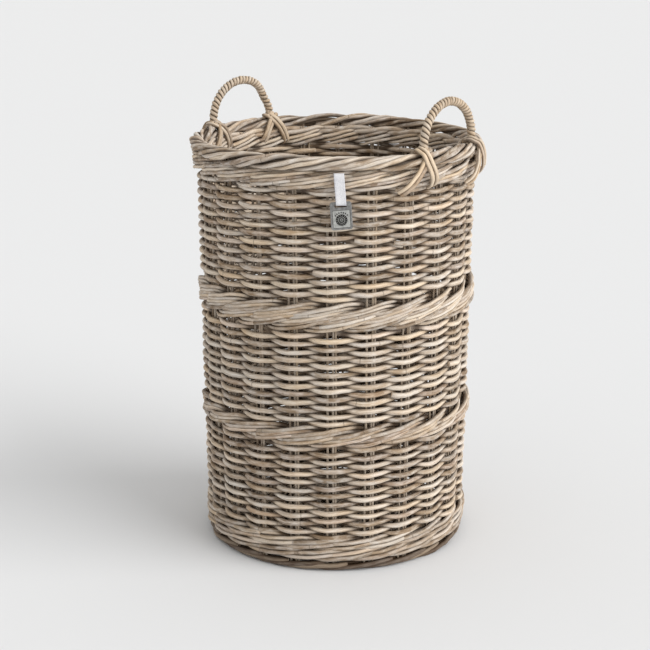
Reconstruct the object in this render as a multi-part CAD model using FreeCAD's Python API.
import FreeCAD, Part
import math
import os

from FreeCAD import Vector

# A tall round laundry basket woven from rattan, open at the top, with two cane-wrapped bow
# handles and a small metal tag that hangs from the rim on a ribbon.
#
# The origin is the centre of the foot on the floor and +Z is up. The handles stand near the +X
# and -X sides. Angles round the basket are in degrees and count from -Y towards +X.
#
# Each zone of weave is an outer and an inner layer with a slot between them for the stakes.

# Overall shape
RIM_CREST_HEIGHT = 600.0
WALL_RADIUS_AT_FLOOR = 193.0
WALL_RADIUS_AT_CREST = 201.3
WALL_THICKNESS = 16.5
STAKE_SLOT = 3.9

# Stakes: stations evenly round the wall, three thin rods at each
STATIONS = 22
STAKE_RADIUS = 1.6
STAKE_SPACING = (-5.9, 2.0, 5.6)
STAKE_END_GAP = 0.1

# Zones of the wall, from the floor to the rim
FOOT_BORDER_TOP = 14.0
FOOT_WALE_TOP = 49.0
LOWER_BAND_BOTTOM = 187.0
LOWER_BAND_TOP = 219.0
UPPER_BAND_BOTTOM = 353.0
UPPER_BAND_TOP = 399.0
RIM_WALE_BOTTOM = 553.0
RIM_WALE_TOP = 577.0

# How far rows stand out of the wall
BAND_PROUD_OUTSIDE = 4.5
BAND_PROUD_INSIDE = 2.0
FOOT_WALE_PROUD_OUTSIDE = 2.0
FOOT_WALE_PROUD_INSIDE = 0.5
RIM_WALE_RADIUS = 211.5
RIM_WALE_EDGE = 4.0

# Plaited border on the rim
BORDER_RADIUS = 200.5
BORDER_TUBE = 11.4

# Foot border
FOOT_INNER_RADIUS = 172.0
FOOT_FLAT_RADIUS = 178.0
FOOT_BULGE = 4.0

# Base: two groups of sticks cross at the centre and fan out to the stations
BASE_MIDDLE = 17.0
BASE_STICK_RADIUS = 2.9
BASE_STICK_PITCH = 7.0
BASE_CROSS_HALF = 24.0
BASE_FAN_START = 66.0
BASE_STICK_END = 175.5
BASE_STICKS_LOWER = 6
BASE_STICKS_UPPER = 5
BASE_WEAVE_THICKNESS = 4.4
BASE_WEAVE_HOLE = 72.0
BASE_TOP_RADIUS = 176.3
BASE_BOTTOM_RADIUS = 171.6
MITRED = 1

# Handles: the angle of each handle's middle, and from there to either foot
HANDLE_RIGHT_ANGLE = 87.7
HANDLE_LEFT_ANGLE = 262.8
HANDLE_HALF_ANGLE = 17.35
HANDLE_TOP = 661.0
HANDLE_CORE_RADIUS = 4.0
HANDLE_WRAP_RADIUS = 6.0
HANDLE_FIT = 0.05
HANDLE_CORNER_RADIUS = 52.0
HANDLE_TOP_ANGLE = 35.0
BORE_CLEARANCE = 0.2
CORE_BOTTOM = RIM_WALE_TOP + 0.3
WRAP_BOTTOM = RIM_CREST_HEIGHT + 0.3

# Lashings: canes bent over the border beside each handle foot
LASHING_CANE_RADIUS = 2.1
LASHING_SPACING = (-12.8, -8.4, 8.4, 12.8)
LASHING_BEND = 16.3
LASHING_CENTRE = 198.0
LASHING_OUTER_END = 557.0
LASHING_INNER_END = 565.0

# Hang tag
TAG_ANGLE = 36.0
TAG_HINGE_RADIUS = 213.4
TAG_HINGE_HEIGHT = 577.0
RIBBON_WIDTH = 14.0
RIBBON_HALF_THICKNESS = 0.6
RIBBON_LOOP_OUTER = 2.95
RIBBON_LOOP_INNER = 2.35
TUCK_INNER_RADIUS = 205.5
TUCK_OUTER_RADIUS = 212.5
TUCK_THICKNESS = 0.8
PLATE_WIDTH = 29.0
PLATE_TOP = 541.0
PLATE_BOTTOM = 503.0
PLATE_THICKNESS = 2.0
PLATE_BAR_HEIGHT = 3.5
PLATE_SLOT_WIDTH = 16.0
PLATE_SLOT_HEIGHT = 4.0
PLATE_RAISE = 0.7
PLATE_FRAME_WIDTH = 2.0
EMBLEM_RINGS = ((9.0, 7.9), (5.0, 3.9))

Z_AXIS = Vector(0, 0, 1)
CENTRE = Vector(0, 0, 0)


def wall_radius(height):
    """Outside of the weave at a height."""
    rise = WALL_RADIUS_AT_CREST - WALL_RADIUS_AT_FLOOR
    return WALL_RADIUS_AT_FLOOR + rise * height / RIM_CREST_HEIGHT


def slot_outer_radius(height):
    return wall_radius(height) - (WALL_THICKNESS - STAKE_SLOT) / 2


def slot_inner_radius(height):
    return slot_outer_radius(height) - STAKE_SLOT


def stake_radius_line(height):
    return slot_outer_radius(height) - STAKE_SLOT / 2


def inside_radius(height):
    return wall_radius(height) - WALL_THICKNESS


def around(radius, angle, height):
    """Point at a radius, an angle in degrees from -Y towards +X, and a height."""
    turn = math.radians(angle)
    return Vector(radius * math.sin(turn), -radius * math.cos(turn), height)


def station_angle(station):
    return station * 360.0 / STATIONS


def profile_point(radius, height):
    return Vector(radius, 0, height)


def revolved(edges):
    """Ring made by turning a closed outline in the XZ plane about the basket's axis."""
    face = Part.Face(Part.Wire(edges))
    return face.revolve(CENTRE, Z_AXIS, 360)


def line(start, end):
    return Part.LineSegment(start, end).toShape()


def bulge(start, end, depth):
    """Arc from start to end whose middle stands depth to the right of the chord."""
    chord = end.sub(start)
    side = Vector(chord.z, 0, -chord.x)
    side.normalize()
    middle = start.add(chord.multiply(0.5)).add(side.multiply(depth))
    return Part.Arc(start, middle, end).toShape()


def plain_ring(inner, outer, bottom, top):
    """Ring with straight sides, where inner and outer give the radius at a height."""
    corners = [
        profile_point(inner(bottom), bottom),
        profile_point(outer(bottom), bottom),
        profile_point(outer(top), top),
        profile_point(inner(top), top),
    ]
    edges = [line(corners[i], corners[(i + 1) % 4]) for i in range(4)]
    return revolved(edges)


def bulged_ring(straight, bulged, bottom, top, rows, depth):
    """Ring with one straight side and one side of rounded rows, depth proud."""
    row_height = (top - bottom) / rows
    heights = [bottom + row_height * i for i in range(rows + 1)]
    edges = [line(profile_point(straight(bottom), bottom), profile_point(bulged(bottom), bottom))]
    for low, high in zip(heights, heights[1:]):
        edges.append(bulge(profile_point(bulged(low), low), profile_point(bulged(high), high), depth))
    edges.append(line(profile_point(bulged(top), top), profile_point(straight(top), top)))
    edges.append(line(profile_point(straight(top), top), profile_point(straight(bottom), bottom)))
    return revolved(edges)


def weave_zone(bottom, top):
    """Plain weave: an outer and an inner layer of rows with the stakes between them."""
    outer = plain_ring(slot_outer_radius, wall_radius, bottom, top)
    inner = plain_ring(inside_radius, slot_inner_radius, bottom, top)
    return Part.makeCompound([outer, inner])


def band_zone(bottom, top, rows, proud_outside, proud_inside):
    """Rows of wale that stand proud of the wall on both sides."""
    outer = bulged_ring(slot_outer_radius, wall_radius, bottom, top, rows, proud_outside)
    inner = bulged_ring(slot_inner_radius, inside_radius, bottom, top, rows, -proud_inside)
    return Part.makeCompound([outer, inner])


def foot_border():
    """Lowest ring of rods, flat where it stands on the floor and rounded up to the wall."""
    corners = [
        profile_point(FOOT_INNER_RADIUS, 0),
        profile_point(FOOT_FLAT_RADIUS, 0),
        profile_point(wall_radius(FOOT_BORDER_TOP), FOOT_BORDER_TOP),
        profile_point(FOOT_INNER_RADIUS, FOOT_BORDER_TOP),
    ]
    edges = [
        line(corners[0], corners[1]),
        bulge(corners[1], corners[2], FOOT_BULGE),
        line(corners[2], corners[3]),
        line(corners[3], corners[0]),
    ]
    return revolved(edges)


def rim_wale():
    """Rows of wale under the border, with a rounded outer edge."""
    bottom = RIM_WALE_BOTTOM
    top = RIM_WALE_TOP
    shoulder = RIM_WALE_RADIUS - RIM_WALE_EDGE
    points = [
        profile_point(slot_outer_radius(bottom), bottom),
        profile_point(shoulder, bottom),
        profile_point(RIM_WALE_RADIUS, bottom + RIM_WALE_EDGE),
        profile_point(RIM_WALE_RADIUS, top - RIM_WALE_EDGE),
        profile_point(shoulder, top),
        profile_point(slot_outer_radius(top), top),
    ]
    bend = RIM_WALE_EDGE * (math.sqrt(2) - 1) / math.sqrt(2)
    edges = [
        line(points[0], points[1]),
        bulge(points[1], points[2], bend),
        line(points[2], points[3]),
        bulge(points[3], points[4], bend),
        line(points[4], points[5]),
        line(points[5], points[0]),
    ]
    outer = revolved(edges)
    inner = plain_ring(inside_radius, slot_inner_radius, bottom, top)
    return Part.makeCompound([outer, inner])


def border_height():
    return RIM_CREST_HEIGHT - BORDER_TUBE


def rim_border():
    """Plaited border as one round tube, bored where the handles' ends go down through it."""
    ring = Part.makeTorus(BORDER_RADIUS, BORDER_TUBE, Vector(0, 0, border_height()), Z_AXIS)
    bore_radius = HANDLE_CORE_RADIUS + BORE_CLEARANCE
    bores = []
    for angle in handle_foot_angles():
        foot = around(BORDER_RADIUS, angle, RIM_WALE_TOP - BORDER_TUBE)
        bores.append(Part.makeCylinder(bore_radius, 4 * BORDER_TUBE, foot, Z_AXIS))
    return ring.cut(Part.makeCompound(bores))


def handle_foot_angles():
    """Right front, right back, left back and left front foot."""
    angles = []
    for middle in (HANDLE_RIGHT_ANGLE, HANDLE_LEFT_ANGLE):
        angles.append(middle - HANDLE_HALF_ANGLE)
        angles.append(middle + HANDLE_HALF_ANGLE)
    return angles


def stake_station(station):
    """Three thin upright rods, one apart from the other two."""
    low = FOOT_BORDER_TOP + STAKE_END_GAP
    high = RIM_WALE_TOP - STAKE_END_GAP
    rods = []
    for spacing in STAKE_SPACING:
        angle = station_angle(station) + math.degrees(spacing / stake_radius_line(low))
        start = around(stake_radius_line(low), angle, low)
        run = around(stake_radius_line(high), angle, high).sub(start)
        rods.append(Part.makeCylinder(STAKE_RADIUS, run.Length, start, run))
    return Part.makeCompound(rods)


def rod_through(points, radius):
    """Round rod of straight runs with mitred bends."""
    runs = [line(start, end) for start, end in zip(points, points[1:])]
    direction = points[1].sub(points[0])
    section = Part.Wire(Part.makeCircle(radius, points[0], direction))
    return Part.Wire(runs).makePipeShell([section], True, False, MITRED)


def base_sticks(count, level, quarter):
    """Parallel sticks that cross the centre at one level, then fan out to the stations.

    quarter is the angle that the middle of the fan points to.
    """
    sticks = []
    for index in range(count):
        place = index - (count - 1) / 2
        fan = place * 360.0 / STATIONS
        side = Vector(0, place * BASE_STICK_PITCH, 0)
        near = Vector(BASE_CROSS_HALF, 0, level).add(side)
        spread = math.radians(fan)
        fan_start = Vector(math.cos(spread), math.sin(spread), 0).multiply(BASE_FAN_START)
        fan_end = Vector(math.cos(spread), math.sin(spread), 0).multiply(BASE_STICK_END)
        right = [
            near,
            fan_start.add(Vector(0, 0, BASE_MIDDLE)),
            fan_end.add(Vector(0, 0, BASE_MIDDLE)),
        ]
        left = [Vector(-point.x, point.y, point.z) for point in reversed(right)]
        stick = rod_through(left + right, BASE_STICK_RADIUS)
        stick.rotate(CENTRE, Z_AXIS, quarter)
        sticks.append(stick)
    return Part.makeCompound(sticks)


def base_weave(bottom, outer_radius):
    """Flat round layer of rows over or under the base sticks."""
    disc = Part.makeCylinder(outer_radius, BASE_WEAVE_THICKNESS, Vector(0, 0, bottom))
    hole = Part.makeCylinder(BASE_WEAVE_HOLE, BASE_WEAVE_THICKNESS, Vector(0, 0, bottom))
    return disc.cut(hole)


def handle_half_span():
    """Half the distance between a handle's feet."""
    return BORDER_RADIUS * math.sin(math.radians(HANDLE_HALF_ANGLE))


def handle_plane():
    """Distance of a handle's upright plane from the basket's axis."""
    return BORDER_RADIUS * math.cos(math.radians(HANDLE_HALF_ANGLE))


def handle_bow(radius, bottom):
    """Bow across the +X axis: two short upright legs, two corners and a flatter top."""
    angle = math.radians(HANDLE_TOP_ANGLE)
    reach = handle_half_span() - HANDLE_CORNER_RADIUS
    top_radius = HANDLE_CORNER_RADIUS + reach / math.sin(angle)
    corner_height = HANDLE_TOP - top_radius + (top_radius - HANDLE_CORNER_RADIUS) * math.cos(angle)
    x = handle_plane()
    corner_centre = Vector(x, reach, corner_height)
    top_centre = Vector(x, 0, HANDLE_TOP - top_radius)
    foot = Vector(x, handle_half_span(), bottom)
    shoulder = Vector(x, handle_half_span(), corner_height)
    corner_turn = 90.0 - HANDLE_TOP_ANGLE
    leg = Part.makeCylinder(radius, corner_height - bottom, foot, Z_AXIS)
    leg_end = Part.Face(Part.Wire(Part.makeCircle(radius, shoulder, Z_AXIS)))
    corner = leg_end.revolve(corner_centre, Vector(1, 0, 0), corner_turn)
    corner_end = leg_end.copy()
    corner_end.rotate(corner_centre, Vector(1, 0, 0), corner_turn)
    top = corner_end.revolve(top_centre, Vector(1, 0, 0), 2 * HANDLE_TOP_ANGLE)
    middle_plane = Vector(0, 1, 0)
    pieces = [corner, top, leg.mirror(CENTRE, middle_plane), corner.mirror(CENTRE, middle_plane)]
    return leg.fuse(pieces).removeSplitter()


def handle_core():
    return handle_bow(HANDLE_CORE_RADIUS, CORE_BOTTOM)


def handle_wrap():
    """Sleeve of wrapped cane round the core."""
    outside = handle_bow(HANDLE_WRAP_RADIUS, WRAP_BOTTOM)
    hollow = handle_bow(HANDLE_CORE_RADIUS + HANDLE_FIT, WRAP_BOTTOM - 1.0)
    return outside.cut(hollow)


def lashing(angle):
    """Canes bent over the border beside a handle foot, as separate parallel hoops."""
    outer = LASHING_CENTRE + LASHING_BEND
    inner = LASHING_CENTRE - LASHING_BEND
    height = border_height()
    canes = []
    for spacing in LASHING_SPACING:
        centre = Vector(spacing, -LASHING_CENTRE, height)
        outer_foot = Vector(spacing, -outer, LASHING_OUTER_END)
        inner_foot = Vector(spacing, -inner, LASHING_INNER_END)
        outer_leg = Part.makeCylinder(LASHING_CANE_RADIUS, height - LASHING_OUTER_END, outer_foot)
        inner_leg = Part.makeCylinder(LASHING_CANE_RADIUS, height - LASHING_INNER_END, inner_foot)
        start = Vector(spacing, -outer, height)
        section = Part.Face(Part.Wire(Part.makeCircle(LASHING_CANE_RADIUS, start, Z_AXIS)))
        bend = section.revolve(centre, Vector(-1, 0, 0), 180)
        canes.append(outer_leg.fuse([bend, inner_leg]).removeSplitter())
    group = Part.makeCompound(canes)
    group.rotate(CENTRE, Z_AXIS, angle)
    return group


def bar_height():
    """Height of the plate's top bar, which the ribbon loops under."""
    return PLATE_TOP - PLATE_BAR_HEIGHT / 2


def centred_box(width, depth, bottom, top):
    """Box across the ribbon's width, centred on the ribbon's plane."""
    corner = Vector(-width / 2, -TAG_HINGE_RADIUS - depth / 2, bottom)
    return Part.makeBox(width, depth, top - bottom, corner)


def across_rod(radius, height):
    """Round bar along the ribbon's width, in the ribbon's plane."""
    start = Vector(-RIBBON_WIDTH / 2, -TAG_HINGE_RADIUS, height)
    return Part.makeCylinder(radius, RIBBON_WIDTH, start, Vector(1, 0, 0))


def tag_ribbon():
    """Hanging part of the ribbon: a strip with a loop at its end for the plate's bar."""
    loop = across_rod(RIBBON_LOOP_OUTER, bar_height())
    eye = across_rod(RIBBON_LOOP_INNER, bar_height())
    strip = centred_box(RIBBON_WIDTH, 2 * RIBBON_HALF_THICKNESS, bar_height(), TAG_HINGE_HEIGHT)
    fold = across_rod(RIBBON_HALF_THICKNESS, TAG_HINGE_HEIGHT)
    ribbon = strip.fuse([loop, fold]).cut(eye).removeSplitter()
    ribbon.rotate(CENTRE, Z_AXIS, TAG_ANGLE)
    return ribbon


def tag_ribbon_tuck():
    """End of the ribbon that is tucked in between the border and the wale below it."""
    depth = TUCK_OUTER_RADIUS - TUCK_INNER_RADIUS
    corner = Vector(-RIBBON_WIDTH / 2, -TUCK_OUTER_RADIUS, RIM_WALE_TOP + STAKE_END_GAP)
    tuck = Part.makeBox(RIBBON_WIDTH, depth, TUCK_THICKNESS, corner)
    tuck.rotate(CENTRE, Z_AXIS, TAG_ANGLE)
    return tuck


def tag_plate():
    """Metal plate with a slot for the ribbon, a raised frame and two raised rings."""
    panel = centred_box(PLATE_WIDTH, PLATE_THICKNESS, PLATE_BOTTOM, PLATE_TOP)
    slot_top = PLATE_TOP - PLATE_BAR_HEIGHT
    slot_bottom = slot_top - PLATE_SLOT_HEIGHT
    slot = centred_box(PLATE_SLOT_WIDTH, 2 * PLATE_THICKNESS, slot_bottom, slot_top)
    front = -TAG_HINGE_RADIUS - PLATE_THICKNESS / 2
    panel_top = slot_bottom - PLATE_FRAME_WIDTH / 2
    frame_height = panel_top - PLATE_BOTTOM
    frame_corner = Vector(-PLATE_WIDTH / 2, front - PLATE_RAISE, PLATE_BOTTOM)
    frame = Part.makeBox(PLATE_WIDTH, PLATE_RAISE, frame_height, frame_corner)
    field_corner = frame_corner.add(Vector(PLATE_FRAME_WIDTH, 0, PLATE_FRAME_WIDTH))
    field = Part.makeBox(
        PLATE_WIDTH - 2 * PLATE_FRAME_WIDTH,
        PLATE_RAISE,
        frame_height - 2 * PLATE_FRAME_WIDTH,
        field_corner,
    )
    raised = [frame.cut(field)]
    middle = Vector(0, front, PLATE_BOTTOM + frame_height / 2)
    outward = Vector(0, -1, 0)
    for outer, inner in EMBLEM_RINGS:
        ring = Part.makeCylinder(outer, PLATE_RAISE, middle, outward)
        raised.append(ring.cut(Part.makeCylinder(inner, PLATE_RAISE, middle, outward)))
    plate = panel.cut(slot).fuse(raised).removeSplitter()
    plate.rotate(CENTRE, Z_AXIS, TAG_ANGLE)
    return plate


def at_handle(shape, angle):
    """Copy of a piece made across the +X axis, turned to a handle's angle."""
    turned = shape.copy()
    turned.rotate(CENTRE, Z_AXIS, angle - 90.0)
    return turned


def build_nodes():
    """Every sub-part of the basket, by name."""
    top_weave = BASE_MIDDLE + BASE_STICK_RADIUS
    bottom_weave = BASE_MIDDLE - BASE_STICK_RADIUS - BASE_WEAVE_THICKNESS
    nodes = {
        "base_sticks_lower": base_sticks(BASE_STICKS_LOWER, BASE_MIDDLE - BASE_STICK_RADIUS, 0),
        "base_sticks_upper": base_sticks(BASE_STICKS_UPPER, BASE_MIDDLE + BASE_STICK_RADIUS, 90),
        "base_weave_bottom": base_weave(bottom_weave, BASE_BOTTOM_RADIUS),
        "base_weave_top": base_weave(top_weave, BASE_TOP_RADIUS),
        "foot_border": foot_border(),
        "foot_wale": band_zone(
            FOOT_BORDER_TOP, FOOT_WALE_TOP, 1, FOOT_WALE_PROUD_OUTSIDE, FOOT_WALE_PROUD_INSIDE
        ),
        "weave_lower": weave_zone(FOOT_WALE_TOP, LOWER_BAND_BOTTOM),
        "band_lower": band_zone(
            LOWER_BAND_BOTTOM, LOWER_BAND_TOP, 1, BAND_PROUD_OUTSIDE, BAND_PROUD_INSIDE
        ),
        "weave_middle": weave_zone(LOWER_BAND_TOP, UPPER_BAND_BOTTOM),
        "band_upper": band_zone(
            UPPER_BAND_BOTTOM, UPPER_BAND_TOP, 2, BAND_PROUD_OUTSIDE, BAND_PROUD_INSIDE
        ),
        "weave_upper": weave_zone(UPPER_BAND_TOP, RIM_WALE_BOTTOM),
        "rim_wale": rim_wale(),
        "rim_border": rim_border(),
        "tag_ribbon_tuck": tag_ribbon_tuck(),
        "tag_ribbon": tag_ribbon(),
        "tag_plate": tag_plate(),
    }
    for station in range(STATIONS):
        nodes["stake_%02d" % (station + 1)] = stake_station(station)
    core = handle_core()
    wrap = handle_wrap()
    for side, angle in (("right", HANDLE_RIGHT_ANGLE), ("left", HANDLE_LEFT_ANGLE)):
        nodes["handle_" + side + "_core"] = at_handle(core, angle)
        nodes["handle_" + side + "_wrap"] = at_handle(wrap, angle)
    foot_names = ("right_front", "right_back", "left_back", "left_front")
    for name, angle in zip(foot_names, handle_foot_angles()):
        nodes["lashing_" + name] = lashing(angle)
    return nodes


def write_nodes():
    os.makedirs("parts", exist_ok=True)
    for name, shape in build_nodes().items():
        shape.exportStep(os.path.join("parts", name + ".step"))
        print(name, len(shape.Solids), shape.isValid(), round(shape.Volume))


write_nodes()
